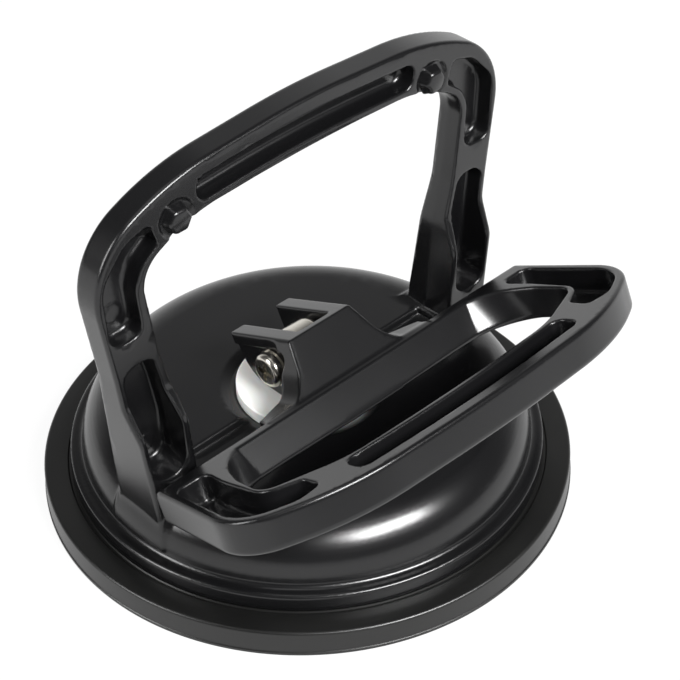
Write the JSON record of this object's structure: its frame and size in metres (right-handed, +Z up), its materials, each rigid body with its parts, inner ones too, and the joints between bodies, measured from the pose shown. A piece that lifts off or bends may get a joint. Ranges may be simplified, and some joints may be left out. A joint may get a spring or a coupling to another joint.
{
  "type": "suction lifter",
  "caption": "Single-cup suction lifter for tiles: moulded dome with an arch handle on a rubber pad, and a D-shaped cam lever that pulls the pad's middle up to grip.",
  "frame": {"origin": "centre of the pad's sealing face, on the floor that the lifter stands on", "axes": "+Z up, away from the tile; -Y towards the grip of the released lever; X along the lever's pivot screw"},
  "size_m": [0.12, 0.12, 0.0992],
  "materials": {
    "body_black": "semi-gloss moulded",
    "pad_rubber": "matt moulded rubber",
    "washer_white": "smooth natural nylon",
    "plated_steel": "bright nickel plate",
    "spring_steel": "drawn wire"
  },
  "bodies": {
    "root": {"cup_body": "body_black", "suction_pad": "pad_rubber", "wear_washer": "washer_white", "left_stop_peg": "body_black", "right_stop_peg": "body_black", "return_spring": "spring_steel"},
    "stud": {"pull_stud": "plated_steel", "pad_insert_plate": "plated_steel", "insert_nut": "plated_steel"},
    "lever": {"lever": "body_black", "pivot_screw": "plated_steel", "pivot_nut": "plated_steel", "screw_washer": "plated_steel", "nut_washer": "plated_steel"}
  },
  "joints": [
    {"name": "stud_lift", "type": "slide", "parent": "root", "child": "stud", "axis": [0, 0, 1], "range_m": [0, 0.0038], "deforming": ["return_spring"]},
    {"name": "lever_swing", "type": "hinge", "parent": "stud", "child": "lever", "pos_m": [0, 0, 0.0326], "axis": [-1, 0, 0], "range_deg": [0, 61.9]}
  ],
  "couplings": [
    {"joint": "stud_lift", "follows": "lever_swing", "m_per_rad": 0.003517}
  ]
}
